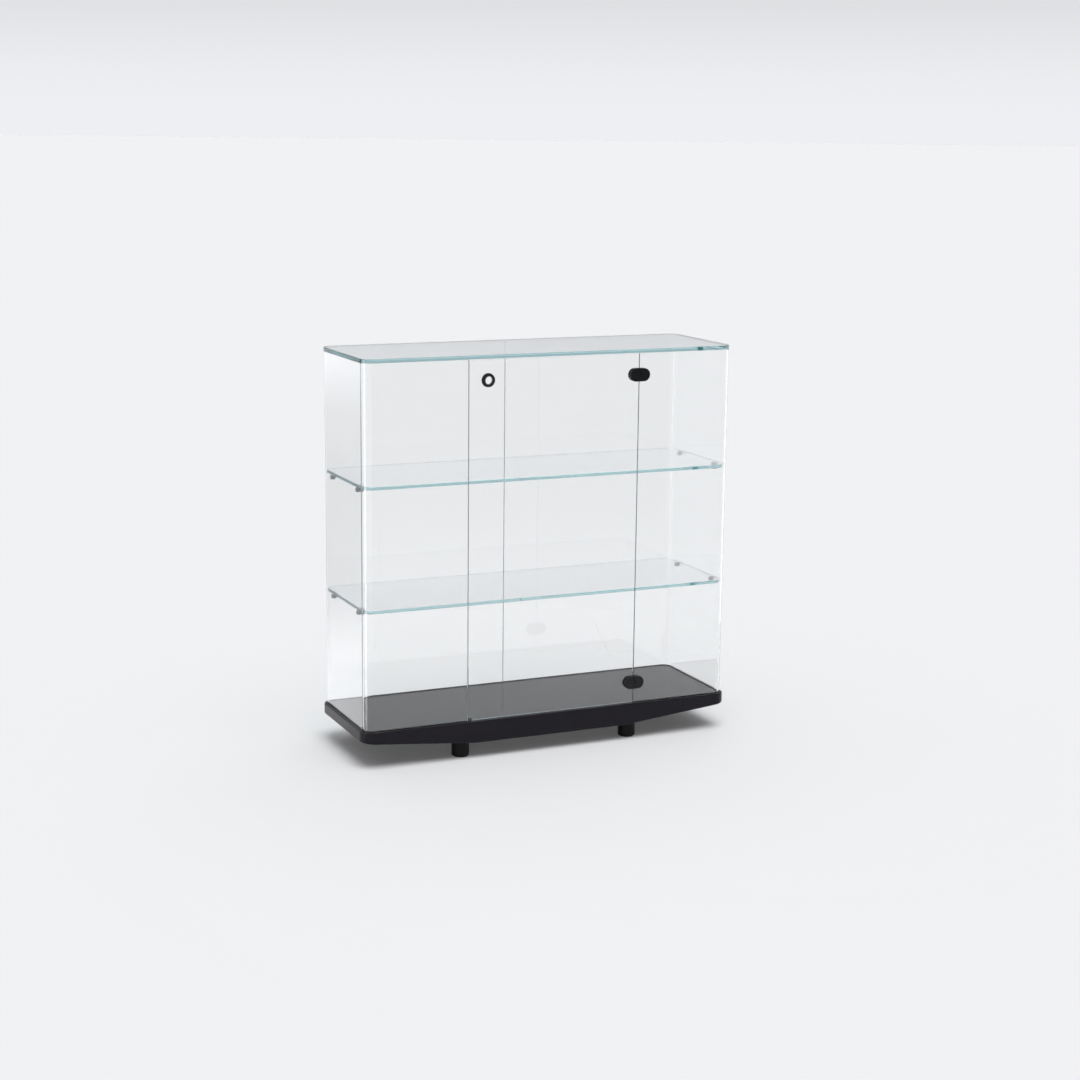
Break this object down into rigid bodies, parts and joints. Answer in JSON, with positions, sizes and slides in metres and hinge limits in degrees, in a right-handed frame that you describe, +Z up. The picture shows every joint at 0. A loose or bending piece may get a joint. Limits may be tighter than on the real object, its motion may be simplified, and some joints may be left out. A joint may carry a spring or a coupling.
{
  "type": "glass display showcase",
  "caption": "Upright glass case on a low dark base with round feet, glass shelves inside, and a glass door hinged on its right edge and opened by a finger hole.",
  "frame": {"origin": "on the floor under the middle of the case", "axes": "+Z up, +X to the right along the front, -Y towards the front with the door, door closed at rest"},
  "size_m": [1.285, 0.421, 1.29],
  "materials": {
    "base": "satin, near black",
    "deck": "satin, near black",
    "rail": "mill finish",
    "gasket": "matt",
    "side_glass": "clear with a green tint",
    "top_glass": "clear with a green tint, ground edges",
    "shelf_glass": "clear with a green tint, ground edges",
    "door_glass": "clear with a green tint",
    "seal": "clear, slightly cloudy",
    "bond": "clear",
    "shelf_pin": "polished",
    "shelf_ring": "translucent grey",
    "fitting": "dark satin",
    "washer": "matt",
    "steel": "bright",
    "brass": "plain",
    "stop": "satin black",
    "buffer": "clear grey",
    "foot": "satin black",
    "glide": "matt"
  },
  "bodies": {
    "case": {"base_hull": "base", "deck_panel": "deck", "deck_rail_left": "rail", "deck_rail_right": "rail", "base_gasket_left": "gasket", "base_gasket_right": "gasket", "glass_shell_left": "side_glass", "glass_shell_right": "side_glass", "back_seam_seal": "seal", "door_edge_seal": "seal", "top_bond_left": "bond", "top_bond_right": "bond", "top_glass": "top_glass", "shelf_upper": "shelf_glass", "shelf_lower": "shelf_glass", "shelf_pins_upper": "shelf_pin", "shelf_pins_lower": "shelf_pin", "shelf_rings_upper": "shelf_ring", "shelf_rings_lower": "shelf_ring", "door_stop": "stop", "door_stop_buffer": "buffer", "foot_front_left": "foot", "foot_front_right": "foot", "foot_rear_left": "foot", "foot_rear_right": "foot", "foot_glides": "glide", "foot_bolts": "steel", "foot_inserts": "brass", "hinge_top_pin": "steel", "hinge_bottom_pin": "steel", "hinge_top_fixed_outer": "fitting", "hinge_top_fixed_inner": "fitting", "hinge_top_fixed_pads": "washer", "hinge_top_fixed_screws": "steel", "hinge_bottom_fixed_outer": "fitting", "hinge_bottom_fixed_inner": "fitting", "hinge_bottom_fixed_pads": "washer", "hinge_bottom_fixed_screws": "steel"},
    "door": {"door_glass": "door_glass", "pull_ring_outer": "fitting", "pull_ring_inner": "fitting", "pull_washers": "washer", "hinge_top_door_outer": "fitting", "hinge_top_door_inner": "fitting", "hinge_top_door_pads": "washer", "hinge_top_door_screws": "steel", "hinge_bottom_door_outer": "fitting", "hinge_bottom_door_inner": "fitting", "hinge_bottom_door_pads": "washer", "hinge_bottom_door_screws": "steel"}
  },
  "joints": [
    {"name": "door_swing", "type": "hinge", "parent": "case", "child": "door", "pos_m": [0.296, -0.207, 0.699], "axis": [0, 0, 1], "range_deg": [0, 105]}
  ]
}
